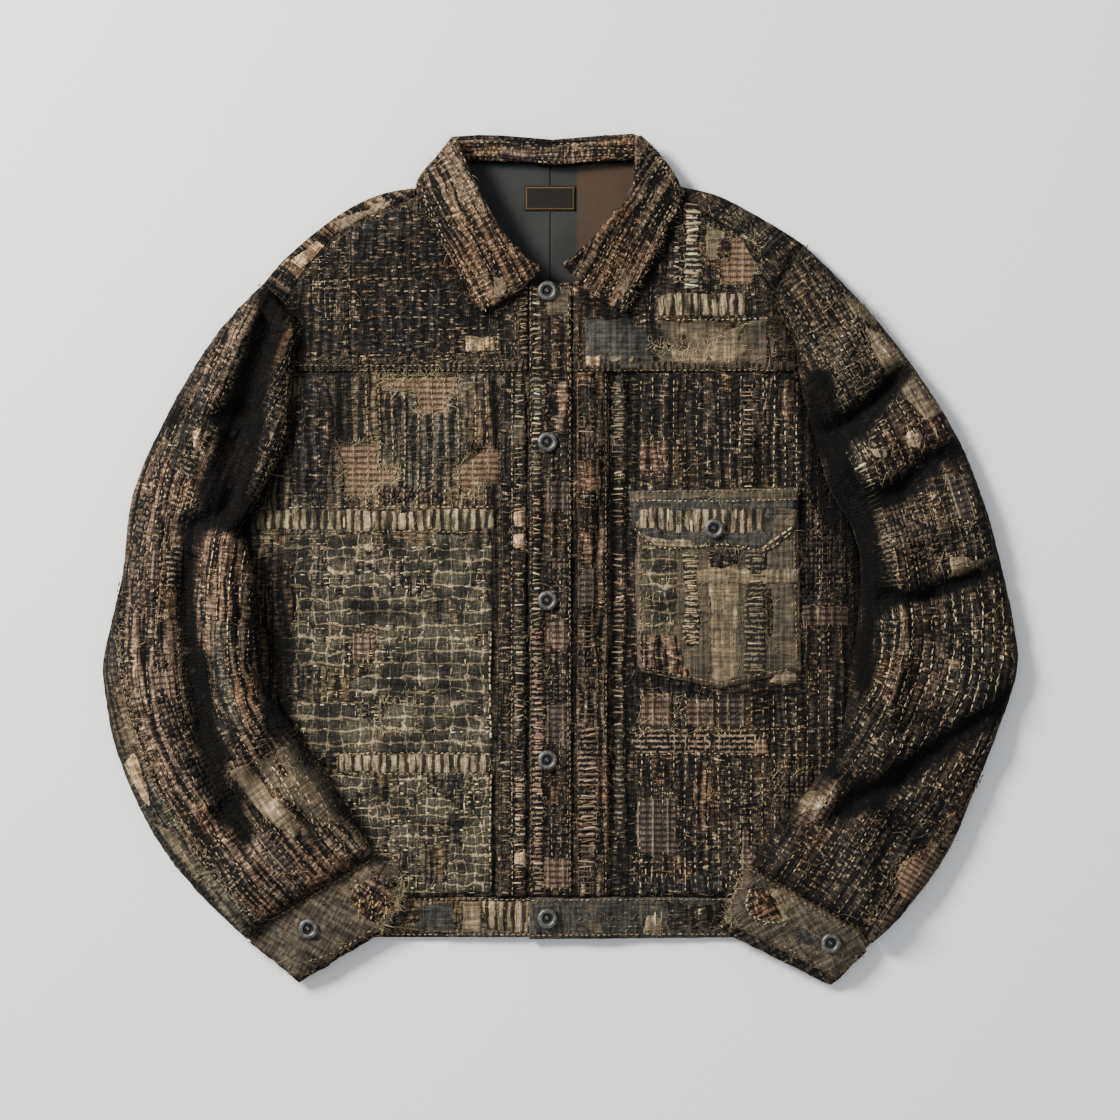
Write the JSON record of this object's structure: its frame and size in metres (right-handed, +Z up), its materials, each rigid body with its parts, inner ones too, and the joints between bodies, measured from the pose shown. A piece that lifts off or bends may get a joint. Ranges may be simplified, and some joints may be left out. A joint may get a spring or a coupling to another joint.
{
  "type": "patched boro jacket laid flat",
  "caption": "Boxy cropped work jacket of patched, hand-stitched cloth laid flat face up, with a spread collar, button placket, flap pocket, waistband and buttoned cuffs.",
  "frame": {"origin": "middle of the jacket's outline, on the surface that it lies on", "axes": "+Z up from that surface, +Y towards the collar, +X towards the sleeve of the wearer's left arm"},
  "size_m": [0.7685, 0.7161, 0.0379],
  "materials": {
    "boro_dark": "thick charcoal cotton, quilted with rows of beige running stitches, worn and frayed",
    "boro_brown": "thick brown-black cotton with cream thread ladders and checks, worn and frayed",
    "boro_grey": "thick olive-grey patched cotton with a raised cream thread grid, torn and frayed",
    "lining_cloth": "smooth dark grey cotton twill with a centre seam",
    "label_cloth": "black woven ribbon, left bare",
    "aged_metal": "dark blued steel, rubbed bright on the rims"
  },
  "bodies": {
    "root": {"back_panel": "boro_dark", "chest_pocket": "boro_grey", "collar": "boro_dark", "front_button_1": "aged_metal", "front_button_2": "aged_metal", "front_button_3": "aged_metal", "front_button_4": "aged_metal", "front_button_5": "aged_metal", "left_cuff": "boro_grey", "left_cuff_back": "boro_dark", "left_cuff_button": "aged_metal", "left_front": "boro_brown", "left_placket": "boro_brown", "left_pleat": "boro_brown", "left_shoulder": "boro_dark", "left_sleeve_top": "boro_dark", "left_sleeve_under": "boro_brown", "left_waistband": "boro_grey", "left_yoke": "boro_grey", "neck_label": "label_cloth", "neck_lining": "lining_cloth", "pocket_button": "aged_metal", "pocket_flap": "boro_grey", "right_cuff": "boro_grey", "right_cuff_back": "boro_dark", "right_cuff_button": "aged_metal", "right_front": "boro_grey", "right_pleat": "boro_grey", "right_shoulder": "boro_brown", "right_sleeve_top": "boro_brown", "right_sleeve_under": "boro_grey", "right_waistband": "boro_grey", "right_yoke": "boro_dark"}
  },
  "joints": []
}
